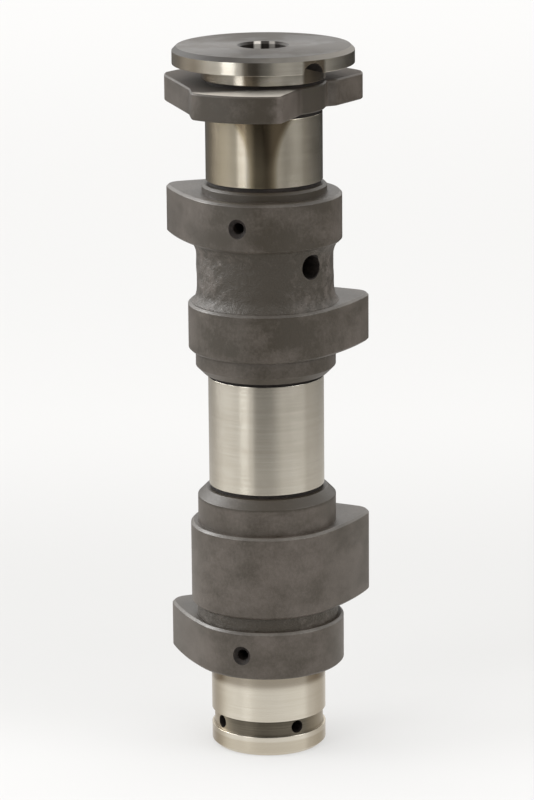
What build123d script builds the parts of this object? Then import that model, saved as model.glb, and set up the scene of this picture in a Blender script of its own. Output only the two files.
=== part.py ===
from build123d import *
from math import cos, radians, sin, sqrt
import os

# One-piece camshaft of a single-cylinder overhead-cam engine, standing on its plain end.
# The origin is the centre of that end and +Z runs up the shaft axis.
# Angles are degrees about +Z from the front, which is -Y, and are positive towards +X.

# Ground journals, and the relief ground at each end of them
journal_r = 12.5
lower_journal_l = 18.0
middle_journal_l = 23.9
upper_journal_l = 14.5
relief_w = 0.8
relief_depth = 0.4
end_chamfer = 0.8

# Oil groove round the lower journal, with its feed holes
oil_groove_z = 4.3
oil_groove_w = 3.5
oil_groove_depth = 0.6
groove_hole_r = 1.4
groove_hole_angles = (-59, 31)

# Lobes: three narrow ones and one wide one, all on the same base circle
base_r = 16.6
nose_r = 4.0
lobe_lift = 6.8
flank_r = 60.0
lobe_edge = 0.5
lobe_w = 10.5
wide_lobe_w = 18.2
lobe_gap = 3.0
left_nose = -118
right_nose = 109

# Cast necks and collars beside the lobes
lower_neck_r = 15.4
lower_collar_r = 15.0
lower_collar_l = 7.6
lower_collar_edge = 1.8
upper_collar_r = 15.1
upper_collar_l = 5.2
upper_collar_edge = 1.7
upper_neck_r = 14.8
upper_neck_l = 13.2
lower_shoulder_l = 4.2
upper_shoulder_l = 3.4
small_collar_r = 13.4
small_collar_l = 1.9
small_collar_edge = 0.5

# Flange plate: a front lug, and a wide round back with a flat cut into each side
flange_t = 5.7
front_lug_r = 21.8
front_lug_left_x = -15.1
front_lug_right_x = 3.7
left_corner = (-15.7, -9.4)
left_facet_top_y = 9.4
right_corner = (15.6, 0.8)
right_facet_top_y = 9.5
recess_r = 13.3
recess_start = 37
recess_end = 89
flange_back_r = 24.8
flange_flat_depth = 3.5
flange_corner_r = 0.7
flange_edge = 0.3

# Retainer groove above the flange, and the pilot disc that closes it
retainer_groove_w = 3.9
hub_r = 13.3
disc_r = 19.4
disc_t = 3.7
disc_chamfer = 0.9
notch_w = 4.8
notch_angle = 32.5
notch_top_gap = 1.5

# Oil gallery drilled from the top, threaded for the sprocket bolt at its mouth
gallery_r = 4.0
gallery_floor = 3.5
thread_r = 5.0
thread_l = 22.0
thread_chamfer = 0.5

# Oil holes in the lobes, and the larger hole in the upper neck
lobe_hole_r = 1.2
lobe_hole_sink_r = 2.1
lobe_hole_angle = -20.5
neck_hole_r = 2.5
neck_hole_sink_r = 2.8
neck_hole_angle = 42
neck_hole_drop = 4.0
sink_angle = 90

# Heights, stacked up from the plain end
relief_r = journal_r - relief_depth
lower_journal_top = lower_journal_l
lobe_4_bottom = lower_journal_top + relief_w
lobe_4_top = lobe_4_bottom + lobe_w
lobe_3_bottom = lobe_4_top + lobe_gap
lobe_3_top = lobe_3_bottom + wide_lobe_w
lower_collar_top = lobe_3_top + lower_collar_l
middle_journal_bottom = lower_collar_top + relief_w
middle_journal_top = middle_journal_bottom + middle_journal_l
upper_collar_bottom = middle_journal_top + relief_w
lobe_2_bottom = upper_collar_bottom + upper_collar_l
lobe_2_top = lobe_2_bottom + lobe_w
lobe_1_bottom = lobe_2_top + upper_neck_l
lobe_1_top = lobe_1_bottom + lobe_w
small_collar_top = lobe_1_top + small_collar_l
upper_journal_bottom = small_collar_top + relief_w
upper_journal_top = upper_journal_bottom + upper_journal_l
flange_bottom = upper_journal_top + relief_w
flange_top = flange_bottom + flange_t
disc_bottom = flange_top + retainer_groove_w
shaft_top = disc_bottom + disc_t

# Half width of the flange across its two side flats
flange_half_w = flange_back_r - flange_flat_depth


def facing(angle):
    """Horizontal unit vector that points out of the shaft at this angle from the front."""
    return Vector(sin(radians(angle)), -cos(radians(angle)), 0)


def on_circle(radius, angle):
    """Plan point at this radius and angle from the front."""
    point = facing(angle) * radius
    return (point.X, point.Y)


def beside(x, radius, side):
    """Plan point of a circle at this x, on the back (side 1) or the front (side -1)."""
    return (x, side * sqrt(radius**2 - x**2))


def drill_plane(radius, angle, height):
    """Plane that touches the shaft at this radius, with its normal pointing outwards."""
    side = facing(angle + 90)
    return Plane(origin=facing(angle) * radius + Vector(0, 0, height), x_dir=side, z_dir=facing(angle))


def make_lobe(bottom, width, nose_angle):
    """Lobe whose base and nose circles are joined by two convex flanks, with broken edges."""
    reach = base_r + lobe_lift - nose_r
    from_base = flank_r - base_r
    from_nose = flank_r - nose_r
    centre_x = (from_base**2 - from_nose**2 + reach**2) / (2 * reach)
    centre = Vector(centre_x, -sqrt(from_base**2 - centre_x**2))
    base_end = centre * (-base_r / from_base)
    nose_end = Vector(reach, 0) + (Vector(reach, 0) - centre) * (nose_r / from_nose)
    middle = centre + ((base_end - centre) + (nose_end - centre)).normalized() * flank_r
    with BuildPart() as lobe:
        with BuildSketch(Plane(origin=(0, 0, bottom), x_dir=facing(nose_angle), z_dir=(0, 0, 1))):
            with BuildLine():
                flank = ThreePointArc(base_end, middle, nose_end)
                mirror(flank, about=Plane.XZ)
                ThreePointArc(base_end, (-base_r, 0), (base_end.X, -base_end.Y))
                ThreePointArc(nose_end, (reach + nose_r, 0), (nose_end.X, -nose_end.Y))
            make_face()
        extrude(amount=width)
        rims = lobe.edges().group_by(Axis.Z)
        chamfer(rims[0] + rims[-1], length=lobe_edge)
    return lobe.part


# Flange plate, cut from a disc so that its front lug and wide back stand out
front_left = beside(front_lug_left_x, front_lug_r, -1)
front_right = beside(front_lug_right_x, front_lug_r, -1)
back_left = beside(-flange_half_w, flange_back_r, 1)
back_right = beside(flange_half_w, flange_back_r, 1)
recess_middle = on_circle(recess_r, (recess_start + recess_end) / 2)
with BuildPart() as flange:
    with BuildSketch(Plane.XY.offset(flange_bottom)):
        with BuildLine():
            Polyline(back_left, (-flange_half_w, left_facet_top_y), left_corner, front_left)
            ThreePointArc(front_left, (0, -front_lug_r), front_right)
            Line(front_right, on_circle(recess_r, recess_start))
            ThreePointArc(on_circle(recess_r, recess_start), recess_middle, on_circle(recess_r, recess_end))
            Polyline(
                on_circle(recess_r, recess_end),
                right_corner,
                (flange_half_w, right_facet_top_y),
                back_right,
            )
            ThreePointArc(back_right, (0, flange_back_r), back_left)
        plate = make_face()
        fillet(plate.vertices(), radius=flange_corner_r)
    extrude(amount=flange_t)
    rims = flange.edges().group_by(Axis.Z)
    chamfer(rims[0] + rims[-1], length=flange_edge)

with BuildPart() as camshaft:
    # Everything that was turned or cast round: journals, reliefs, necks, collars, hub and disc
    with BuildSketch(Plane.XZ):
        with BuildLine():
            Polyline(
                (0, 0),
                (journal_r - end_chamfer, 0),
                (journal_r, end_chamfer),
                (journal_r, oil_groove_z),
                (journal_r - oil_groove_depth, oil_groove_z),
                (journal_r - oil_groove_depth, oil_groove_z + oil_groove_w),
                (journal_r, oil_groove_z + oil_groove_w),
                (journal_r, lower_journal_top),
                (relief_r, lower_journal_top),
                (relief_r, lobe_4_bottom),
                (lower_neck_r, lobe_4_bottom),
                (lower_neck_r, lobe_3_bottom),
                (lower_collar_r, lobe_3_bottom),
                (lower_collar_r, lower_collar_top - lower_collar_edge),
                (lower_collar_r - lower_collar_edge, lower_collar_top),
                (relief_r, lower_collar_top),
                (relief_r, middle_journal_bottom),
                (journal_r, middle_journal_bottom),
                (journal_r, middle_journal_top),
                (relief_r, middle_journal_top),
                (relief_r, upper_collar_bottom),
                (upper_collar_r - upper_collar_edge, upper_collar_bottom),
                (upper_collar_r, upper_collar_bottom + upper_collar_edge),
                (upper_collar_r, lobe_2_top),
                (base_r - lobe_edge, lobe_2_top),
                (upper_neck_r, lobe_2_top + lower_shoulder_l),
                (upper_neck_r, lobe_1_bottom - upper_shoulder_l),
                (base_r - lobe_edge, lobe_1_bottom),
                (small_collar_r, lobe_1_bottom),
                (small_collar_r, small_collar_top - small_collar_edge),
                (small_collar_r - small_collar_edge, small_collar_top),
                (relief_r, small_collar_top),
                (relief_r, upper_journal_bottom),
                (journal_r, upper_journal_bottom),
                (journal_r, upper_journal_top),
                (relief_r, upper_journal_top),
                (relief_r, flange_top + relief_w),
                (hub_r, flange_top + relief_w),
                (hub_r, disc_bottom),
                (disc_r, disc_bottom),
                (disc_r, shaft_top - disc_chamfer),
                (disc_r - disc_chamfer, shaft_top),
                (0, shaft_top),
                close=True,
            )
        make_face()
    revolve(axis=Axis.Z)

    # The lobes in order down the shaft, and the flange plate
    add(make_lobe(lobe_1_bottom, lobe_w, left_nose))
    add(make_lobe(lobe_2_bottom, lobe_w, right_nose))
    add(make_lobe(lobe_3_bottom, wide_lobe_w, right_nose))
    add(make_lobe(lobe_4_bottom, lobe_w, left_nose))
    add(flange.part)

    # Round-topped notch in the edge of the disc, which times the sprocket
    with BuildSketch(drill_plane(disc_r + disc_chamfer, notch_angle, flange_top)):
        notch_r = notch_w / 2
        notch_arch = shaft_top - notch_top_gap - notch_r - flange_top
        Rectangle(notch_w, notch_arch, align=(Align.CENTER, Align.MIN))
        with Locations((0, notch_arch)):
            Circle(notch_r)
    extrude(amount=hub_r - disc_r - disc_chamfer, mode=Mode.SUBTRACT)

    # Gallery down the axis, with the bolt thread at its mouth
    with BuildSketch(Plane.XZ):
        with BuildLine():
            Polyline(
                (0, gallery_floor),
                (gallery_r, gallery_floor + gallery_r),
                (gallery_r, shaft_top - thread_l),
                (thread_r, shaft_top - thread_l),
                (thread_r, shaft_top - thread_chamfer),
                (thread_r + thread_chamfer, shaft_top),
                (0, shaft_top),
                close=True,
            )
        make_face()
    revolve(axis=Axis.Z, mode=Mode.SUBTRACT)

    # Cross holes into the gallery
    for hole_angle in groove_hole_angles:
        groove_middle = oil_groove_z + oil_groove_w / 2
        with Locations(drill_plane(journal_r, hole_angle, groove_middle)):
            Hole(groove_hole_r, depth=journal_r)
    for lobe_middle in (lobe_1_bottom + lobe_w / 2, lobe_4_bottom + lobe_w / 2):
        with Locations(drill_plane(base_r, lobe_hole_angle, lobe_middle)):
            CounterSinkHole(lobe_hole_r, lobe_hole_sink_r, depth=base_r, counter_sink_angle=sink_angle)
    with Locations(drill_plane(upper_neck_r, neck_hole_angle, lobe_1_bottom - neck_hole_drop)):
        CounterSinkHole(neck_hole_r, neck_hole_sink_r, depth=upper_neck_r, counter_sink_angle=sink_angle)

camshaft.part.label = "camshaft"
os.makedirs("parts", exist_ok=True)
export_step(camshaft.part, "parts/camshaft.step")
print("volume mm3", round(camshaft.part.volume), "solids", len(camshaft.part.solids()))
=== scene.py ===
"""Studio scene of a one-piece camshaft: phosphated lobes and necks, ground journals and end disc.

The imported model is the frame. Each stretch of the shaft is a closed surface worked out with numpy
in the frame's own axes: the origin is the centre of the plain end, +Z runs up the shaft and -Y is
the front. Sizes are in millimetres and angles in degrees, counted from the front towards +X.
"""
import logging
import math
from collections.abc import Sequence
from dataclasses import dataclass, field
from enum import Enum

import bpy
import numpy as np
from mathutils import Matrix, Vector


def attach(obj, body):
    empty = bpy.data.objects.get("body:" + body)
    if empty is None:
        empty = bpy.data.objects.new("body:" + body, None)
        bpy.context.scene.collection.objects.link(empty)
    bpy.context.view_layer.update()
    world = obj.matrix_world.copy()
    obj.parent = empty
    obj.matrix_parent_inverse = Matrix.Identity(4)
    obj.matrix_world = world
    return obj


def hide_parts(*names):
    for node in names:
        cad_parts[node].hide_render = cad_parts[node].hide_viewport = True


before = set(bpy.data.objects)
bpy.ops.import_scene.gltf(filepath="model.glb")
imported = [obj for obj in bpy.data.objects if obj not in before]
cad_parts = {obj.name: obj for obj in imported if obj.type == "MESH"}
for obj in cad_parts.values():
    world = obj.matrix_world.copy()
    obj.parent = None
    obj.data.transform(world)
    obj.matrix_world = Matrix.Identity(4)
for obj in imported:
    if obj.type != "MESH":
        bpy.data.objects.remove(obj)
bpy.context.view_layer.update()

MM = 0.001
BODY = "root"
NODE = "camshaft"
LOG = logging.getLogger("camshaft")

Plan = np.ndarray
Rows = np.ndarray
Colour = tuple[float, float, float, float]
Band = tuple[float, float, float, float]


class Coat(Enum):
    """Named finishes of the shaft, in the order of a piece's material slots."""

    PHOSPHATE = 0
    CAST = 1
    GROUND = 2
    TURNED = 3
    DARK = 4
    WORN_AND_PAINTED_LIGHT = 5
    BORE = 6
    EDGE = 7
    GROOVE = 8
    RIM = 9


# Sizes shared by the sub-assemblies


@dataclass(frozen=True)
class Levels:
    """Sizes that the sub-assemblies share, and the heights at which they meet."""

    journal_r: float = 12.5
    relief_r: float = 12.1
    relief_w: float = 0.8
    base_r: float = 16.6
    lobe_w: float = 10.5
    lobe_edge: float = 0.5
    left_nose: float = -118.0
    right_nose: float = 109.0
    lobe_hole_r: float = 1.2
    lobe_sink_r: float = 2.1
    lobe_hole_angle: float = -20.5
    gallery_r: float = 4.0
    gallery_floor: float = 3.5
    thread_r: float = 5.0
    thread_l: float = 22.0
    hub_r: float = 13.3
    disc_r: float = 19.4

    def stack(self) -> dict[str, float]:
        """Add up the bands of the shaft, each named after the level that it leads up to.

        Returns:
            The height of each level above the plain end.
        """
        bands = {
            "lower_journal_top": 18.0,
            "lobe_4_bottom": self.relief_w,
            "lobe_4_top": self.lobe_w,
            "lobe_3_bottom": 3.0,
            "lobe_3_top": 18.2,
            "lower_collar_top": 7.6,
            "middle_journal_bottom": self.relief_w,
            "middle_journal_top": 23.9,
            "upper_collar_bottom": self.relief_w,
            "lobe_2_bottom": 5.2,
            "lobe_2_top": self.lobe_w,
            "lobe_1_bottom": 13.2,
            "lobe_1_top": self.lobe_w,
            "small_collar_top": 1.9,
            "upper_journal_bottom": self.relief_w,
            "upper_journal_top": 14.5,
            "flange_bottom": self.relief_w,
            "flange_top": 5.7,
            "disc_bottom": 3.9,
            "shaft_top": 3.7,
        }
        return dict(zip(bands, np.cumsum(list(bands.values())).tolist()))


LEVELS = Levels()
AT = LEVELS.stack()


# Shader arithmetic


class Value:
    """One socket or number whose arithmetic adds Math nodes to its graph."""

    def __init__(self, graph: "Graph", socket: object) -> None:
        """Keep the graph and the output socket, or a plain number."""
        self.graph = graph
        self.socket = socket

    def math(self, operation: str, *others: object) -> "Value":
        """Add one Math node.

        Args:
            operation: name of the Math node's operation.
            others: further operands, as values, sockets or numbers.

        Returns:
            The result as a new value.
        """
        operands = dict(enumerate((self, *others)))
        node = self.graph.node("ShaderNodeMath", {"operation": operation}, operands)
        return Value(self.graph, node.outputs[0])

    def __add__(self, other: object) -> "Value":
        """Sum."""
        return self.math("ADD", other)

    __radd__ = __add__

    def __sub__(self, other: object) -> "Value":
        """Difference."""
        return self.math("SUBTRACT", other)

    def __rsub__(self, other: object) -> "Value":
        """Reflected difference."""
        return Value(self.graph, other).math("SUBTRACT", self)

    def __mul__(self, other: object) -> "Value":
        """Product."""
        return self.math("MULTIPLY", other)

    __rmul__ = __mul__

    def __truediv__(self, other: object) -> "Value":
        """Quotient."""
        return self.math("DIVIDE", other)

    def __pow__(self, other: object) -> "Value":
        """Power."""
        return self.math("POWER", other)

    def __neg__(self) -> "Value":
        """Opposite."""
        return self.math("MULTIPLY", -1.0)

    def __abs__(self) -> "Value":
        """Absolute value."""
        return self.math("ABSOLUTE")

    def clamp(self) -> "Value":
        """Limit to the range from 0 to 1."""
        return self.math("MAXIMUM", 0.0).math("MINIMUM", 1.0)

    def ramp(self, low: float, high: float) -> "Value":
        """Smooth step.

        Args:
            low: value at which the result is 0.
            high: value at which the result is 1.

        Returns:
            A value that climbs smoothly from 0 to 1 between the two.
        """
        settings = {"interpolation_type": "SMOOTHSTEP"}
        node = self.graph.node("ShaderNodeMapRange", settings, {0: self, 1: low, 2: high, 3: 0.0, 4: 1.0})
        return Value(self.graph, node.outputs[0])

    def band(self, start: float, full: float, fade: float, end: float) -> "Value":
        """Climb from 0 to 1 between start and full, and fall back between fade and end."""
        return self.ramp(start, full) * (1.0 - self.ramp(fade, end))


Place = tuple[Value, Value, Value]


class Graph:
    """Node tree of a material or world, filled through one method."""

    def __init__(self, tree: bpy.types.NodeTree) -> None:
        """Empty the tree."""
        tree.nodes.clear()
        self.tree = tree

    def node(self, kind: str, settings: dict | None = None, inputs: dict | None = None) -> bpy.types.Node:
        """Add a node.

        Args:
            kind: the node's type.
            settings: its properties, set before its sockets.
            inputs: socket names or numbers, with the values or links that they take.

        Returns:
            The new node.
        """
        made = self.tree.nodes.new(kind)
        for name, setting in (settings or {}).items():
            setattr(made, name, setting)
        for key, entry in (inputs or {}).items():
            source = entry.socket if isinstance(entry, Value) else entry
            if isinstance(source, bpy.types.NodeSocket):
                self.tree.links.new(source, made.inputs[key])
            else:
                made.inputs[key].default_value = source
        return made

    def mix(self, factor: object, first: object, second: object) -> bpy.types.NodeSocket:
        """Blend from the first colour at factor 0 to the second at factor 1."""
        return self.node("ShaderNodeMix", {"data_type": "RGBA"}, {0: factor, 6: first, 7: second}).outputs[2]

    def axes(self, vector: bpy.types.NodeSocket) -> Place:
        """Split a vector into one value for each axis."""
        split = self.node("ShaderNodeSeparateXYZ", None, {0: vector})
        return tuple(Value(self, split.outputs[i]) for i in range(3))

    def scaled(self, scale: Sequence[float]) -> bpy.types.NodeSocket:
        """Object coordinates in millimetres, multiplied along each axis by scale.

        Args:
            scale: factor of each axis.

        Returns:
            The multiplied coordinates' socket.
        """
        place = self.node("ShaderNodeTexCoord").outputs["Object"]
        per_mm = tuple(s / MM for s in scale)
        return self.node("ShaderNodeVectorMath", {"operation": "MULTIPLY"}, {0: place, 1: per_mm}).outputs[0]

    def place(self) -> Place:
        """Object coordinates in millimetres, one value for each axis."""
        return self.axes(self.scaled((1.0, 1.0, 1.0)))

    def noise_at(self, vector: bpy.types.NodeSocket, detail: float, roughness: float) -> Value:
        """Noise field around 0.5, sampled at a vector."""
        inputs = {"Vector": vector, "Scale": 1.0, "Detail": detail, "Roughness": roughness}
        return Value(self, self.node("ShaderNodeTexNoise", None, inputs).outputs[0])

    def noise(self, scale: Sequence[float], detail: float, roughness: float) -> Value:
        """Noise field with scale grains per millimetre along each axis."""
        return self.noise_at(self.scaled(scale), detail, roughness)

    def rays(self) -> tuple[Value, Value]:
        """Masks of the camera's rays and of reflections."""
        path = self.node("ShaderNodeLightPath")
        return Value(self, path.outputs["Is Camera Ray"]), Value(self, path.outputs["Is Glossy Ray"])

    def glow(self, colour: Colour, strength: Value) -> bpy.types.NodeSocket:
        """Add light of this colour and strength."""
        return self.node("ShaderNodeEmission", None, {"Color": colour, "Strength": strength}).outputs[0]

    def blend(self, factor: Value, first: object, second: object) -> bpy.types.NodeSocket:
        """Blend from the first shader at factor 0 to the second at factor 1."""
        return self.node("ShaderNodeMixShader", None, {0: factor, 1: first, 2: second}).outputs[0]

    def bump(self, height: Value, distance: float, normal: object = None) -> bpy.types.NodeSocket:
        """Turn a height field into a normal.

        Args:
            height: field from 0 to 1.
            distance: its depth in millimetres.
            normal: normal to build on, if any.

        Returns:
            The bumped normal's socket.
        """
        inputs = {"Height": height, "Distance": distance * MM, "Strength": 1.0}
        if normal is not None:
            inputs["Normal"] = normal
        return self.node("ShaderNodeBump", None, inputs).outputs[0]

    def principled(self, inputs: dict) -> None:
        """Finish the material with one Principled shader that has these inputs."""
        shader = self.node("ShaderNodeBsdfPrincipled", None, inputs)
        self.node("ShaderNodeOutputMaterial", None, {"Surface": shader.outputs[0]})


def new_material(name: str) -> tuple[bpy.types.Material, Graph]:
    """Make an empty node material and its graph.

    Args:
        name: name of the material.

    Returns:
        The material and the graph of its nodes.
    """
    material = bpy.data.materials.new(name)
    material.use_nodes = True
    return material, Graph(material.node_tree)


# Patches of painted shade and light, and of tint


FAR = 1000.0


def above(start: float, full: float) -> Band:
    """Borders of a band that fades in and never ends."""
    return start, full, FAR, FAR + 1.0


def below(fade: float, end: float) -> Band:
    """Borders of a band that has no beginning and fades out."""
    return -FAR - 1.0, -FAR, fade, end


@dataclass(frozen=True)
class Patch:
    """Patch with soft borders, each axis by the four numbers of its band.

    Attributes:
        share: strength of the patch, negative where it lightens instead of darkening.
        x: borders across the shaft, None for all of it.
        z: borders up the shaft, None for all of it.
        front: distances in front of the axis between which it fades in, None for all round.
    """

    share: float
    x: Band | None = None
    z: Band | None = None
    front: tuple[float, float] | None = None

    def on(self, place: Place) -> Value:
        """Strength of the patch at each point.

        Args:
            place: coordinates in millimetres.

        Returns:
            The strength, 0 outside the borders.
        """
        x, y, z = place
        masks = [axis.band(*borders) for axis, borders in ((x, self.x), (z, self.z)) if borders]
        if self.front:
            masks.append((-y).ramp(*self.front))
        return math.prod(masks, start=self.share)


@dataclass(frozen=True)
class ReflectionFunnel:
    """Painted dark reflection of the flange's lug, running down the front of the upper journal.

    Its half width is the foot's, and more by the flare times the square of the rise.

    Attributes:
        x: middle of the funnel.
        half: half width at its foot.
        flare: gain of the half width up to its head.
        foot: height at which it begins to widen.
        tall: height over which it widens.
        funnel_dark: further darkness of its right half.
    """

    x: float = -0.4
    half: float = 2.6
    flare: float = 3.6
    foot: float = 129.5
    tall: float = 11.0
    funnel_dark: float = 0.7

    def on(self, place: Place) -> tuple[Value, Value]:
        """Share of the painted reflection at each point, and the share of it that is darker.

        Args:
            place: coordinates in millimetres.

        Returns:
            The reflection's share and its darker share.
        """
        x, y, z = place
        rise = ((z - self.foot) / self.tall).clamp()
        half = self.half + self.flare * rise * rise
        funnel_reflection = (1.0 - abs(x - self.x).ramp(half - 0.9, half + 1.0)) * z.band(*UPPER) * (-y).ramp(*FRONT)
        return funnel_reflection, (rise + self.funnel_dark * x.ramp(-0.8, 0.6)).clamp() * funnel_reflection


FRONT = (0.0, 2.0)
LUG_FRONT = (12.0, 14.0)
RECESS = (7.8, 8.8, 12.4, 13.2)
FLANGE = above(AT["flange_bottom"] - 0.2, AT["flange_bottom"])
HEAD = above(AT["flange_top"] - 0.1, AT["flange_top"] + 0.1)
HUB = (*HEAD[:2], AT["disc_bottom"] - 0.3, AT["disc_bottom"] - 0.1)
UNDER_FLANGE = below(AT["flange_bottom"] + 0.2, AT["flange_bottom"] + 0.6)
UPPER = (AT["upper_journal_bottom"] - 2.2, AT["upper_journal_bottom"] - 0.2, *UNDER_FLANGE[2:])
LOWER = below(AT["lower_journal_top"], AT["lower_journal_top"] + 1.0)
FOOT = below(3.0, 3.4)

# Painted shade and light on the dark coat.
COAT_PAINTED_SHADE_AND_LIGHT = (
    # Painted shade in the flange's front recess.
    Patch(0.8, x=RECESS, z=FLANGE, front=FRONT),
    # Painted shade on the front of the flange's lug.
    Patch(0.45, x=(-14.5, -12.0, 0.8, 2.6), z=FLANGE, front=LUG_FRONT),
    # Painted light on the lug's right facet, with a negative share.
    Patch(-0.5, x=(2.4, 3.0, 7.0, 7.8), z=FLANGE, front=LUG_FRONT),
    # Painted shade on the lower collar's top bevel.
    Patch(0.6, z=tuple(AT["lower_collar_top"] + d for d in (-2.5, -1.9, 0.2, 0.7))),
    # Painted shade on the small collar under the upper journal.
    Patch(0.6, z=(AT["lobe_1_top"], AT["lobe_1_top"] + 0.3, AT["small_collar_top"] + 0.4,
                  AT["small_collar_top"] + 0.7)),
    # Painted shade in the gap between the two lower lobes.
    Patch(0.5, z=(AT["lobe_4_top"] - 0.1, AT["lobe_4_top"] + 0.2, AT["lobe_3_bottom"] - 0.1,
                  AT["lobe_3_bottom"] + 0.2)),
)
BROWN_TINT_AND_SHADE = (
    # Brownish film on the upper journal.
    Patch(0.3, z=UPPER),
    # Painted shade on the left side of the upper journal.
    Patch(0.45, x=below(-9.5, -3.5), z=UPPER),
    # Browner towards the bottom end.
    Patch(0.3, z=FOOT),
)
DARK_PAINTED_SHADE = (
    # Painted shade on the left of the hub and the disc wall.
    Patch(0.765, x=below(-15.0, -9.0), z=HEAD),
    # Painted dark reflection in a streak down the front of the disc wall and hub.
    Patch(0.63, x=(-4.9, -3.7, -1.6, -0.2), z=HEAD, front=FRONT),
    # Painted shade round the notch, on the front right of the disc and hub.
    Patch(0.9, x=RECESS, z=HEAD, front=FRONT),
    # Painted shade at the right edge of the disc wall.
    Patch(0.54, x=above(15.5, 18.0), z=HEAD),
    # Painted shade on the hub under the disc, on its left and front.
    Patch(0.4, x=below(-10.0, -6.5), z=HUB),
    Patch(0.25, x=below(-3.0, 0.0), z=HUB),
    # Painted shade on the left side of the upper journal.
    Patch(0.17, x=below(-5.0, -3.5), z=UPPER),
    Patch(0.25, x=below(-11.8, -8.0), z=UPPER),
    # Painted shade on the left and right sides of the journals below the flange.
    Patch(0.32, x=below(-11.3, -8.8), z=UNDER_FLANGE),
    Patch(0.2, x=above(7.5, 9.0), z=UNDER_FLANGE),
    # Painted shadow of lobe 4 on the top of the lower journal.
    Patch(0.6, z=(14.6, 16.4, *LOWER[2:])),
    # Darker towards the bottom end.
    Patch(0.12, z=FOOT),
)


# Finishes


@dataclass(frozen=True)
class Finish:
    """Finish of which each kind states the Principled inputs.

    Attributes:
        name: material name.
        dark: darker colour of its pattern.
        light: lighter colour of its pattern.
        roughness: middle value of the surface roughness.
    """

    name: str
    dark: Colour
    light: Colour
    roughness: float

    def inputs(self, graph: Graph) -> dict:
        """Principled inputs of the finish."""
        raise NotImplementedError

    def material(self) -> bpy.types.Material:
        """Build the material.

        Returns:
            The material.
        """
        material, graph = new_material(self.name)
        graph.principled(self.inputs(graph))
        return material


@dataclass(frozen=True)
class Phosphate(Finish):
    """Matt dark phosphate coat over a machined or a cast surface.

    Attributes:
        grain: depth of the crystalline grain in millimetres.
        skin: depth of the cast unevenness in millimetres, 0 on machined faces.
    """

    name: str = "phosphate_machined"
    dark: Colour = (0.024, 0.018, 0.011, 1.0)
    light: Colour = (0.064, 0.052, 0.043, 1.0)
    roughness: float = 0.46
    grain: float = 0.012
    skin: float = 0.0

    def inputs(self, graph: Graph) -> dict:
        """Clouded colour, fine crystal grain, painted shade and light, and a cast skin where there is one.

        Args:
            graph: node tree that takes the pattern's nodes.

        Returns:
            The Principled inputs by socket name.
        """
        clouds = graph.noise((0.11, 0.11, 0.16), 4.0, 0.6)
        specks = graph.noise((1.6, 1.6, 1.6), 3.0, 0.7)
        crystal = graph.noise((6.0, 6.0, 6.0), 2.0, 0.6)
        x, y, z = place = graph.place()
        # Painted shade on the front of the upper lobes and neck, growing with height and fading below the
        # upper journal; the sides are left out.
        upper = z.band(60.0, 112.0, 122.0, 141.0) * (1.0 - 0.9 * (x * x).ramp(60.0, 260.0))
        shade = clouds.ramp(0.27, 0.73) * 0.7 + specks.ramp(0.35, 0.7) * 0.3
        shade = (shade - upper * 0.42 - sum(patch.on(place) for patch in COAT_PAINTED_SHADE_AND_LIGHT)).clamp()
        normal = graph.bump(crystal, self.grain)
        if self.skin:
            lumps = graph.noise((0.42, 0.42, 0.42), 4.0, 0.62)
            normal = graph.bump(lumps, self.skin, normal)
            # Painted shade: the middle of the cast neck's front is darker than its sides.
            front = (1.0 - abs(x + 1.5).ramp(3.0, 9.0)) * (-y).ramp(0.0, 3.0)
            shade = (shade + (lumps.ramp(0.35, 0.65) - 0.5) * 0.7 - front * 0.5).clamp()
        return {
            "Base Color": graph.mix(shade, self.dark, self.light),
            "Roughness": (self.roughness + (specks - 0.5) * 0.22).clamp(),
            "IOR": 1.52,
            "Normal": normal,
        }


@dataclass(frozen=True)
class GroundSteel(Finish):
    """Bright steel ground round the axis, whose fine rings draw reflections out along the shaft.

    Attributes:
        metal: metallic share, lower under a lubricant film.
        brown: colour of the steel under a thin brownish film, also used for painted shade and reflections.
        painted_shade: colour of painted shade and painted dark reflections on the steel.
    """

    name: str = "steel_ground"
    dark: Colour = (0.63, 0.59, 0.51, 1.0)
    light: Colour = (0.72, 0.685, 0.61, 1.0)
    roughness: float = 0.23
    metal: float = 1.0
    brown: Colour = (0.51, 0.44, 0.31, 1.0)
    painted_shade: Colour = (0.15, 0.115, 0.075, 1.0)

    def inputs(self, graph: Graph) -> dict:
        """Rings of uneven brightness with faint cloudy wear, under a brownish film, painted shade and painted
        dark reflections.

        Args:
            graph: node tree that takes the pattern's nodes.

        Returns:
            The Principled inputs by socket name.
        """
        rings = graph.noise((0.05, 0.05, 5.0), 3.0, 0.7)
        bands = graph.noise((0.03, 0.03, 0.9), 2.0, 0.5)
        wear = graph.noise((0.12, 0.12, 0.12), 3.0, 0.55)
        shade = rings.ramp(0.3, 0.7) * 0.5 + bands.ramp(0.35, 0.65) * 0.2 + wear.ramp(0.35, 0.65) * 0.3
        x, _, z = place = graph.place()
        # Painted dark reflection down the front of the upper journal, brown and darker on its right.
        funnel_reflection, funnel_dark = ReflectionFunnel().on(place)
        # Painted shade on the left and right sides of the lower journal.
        sides = (x * x).ramp(50.0, 156.0) * z.band(*LOWER)
        brown = (funnel_reflection * 0.9 + sides * 0.5 + sum(patch.on(place) for patch in BROWN_TINT_AND_SHADE)).clamp()
        dark = (funnel_dark * 0.9 + sides * 0.35 + sum(patch.on(place) for patch in DARK_PAINTED_SHADE)).clamp()
        steel = graph.mix(brown, graph.mix(shade.clamp(), self.dark, self.light), self.brown)
        return {
            "Base Color": graph.mix(dark, steel, self.painted_shade),
            "Metallic": self.metal,
            "Roughness": (self.roughness + (rings - 0.5) * 0.08 + (wear - 0.5) * 0.10).clamp(),
            "Anisotropic": 0.8,
            "Anisotropic Rotation": 0.25,
            "Normal": graph.bump(rings, 0.0006),
        }


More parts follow.
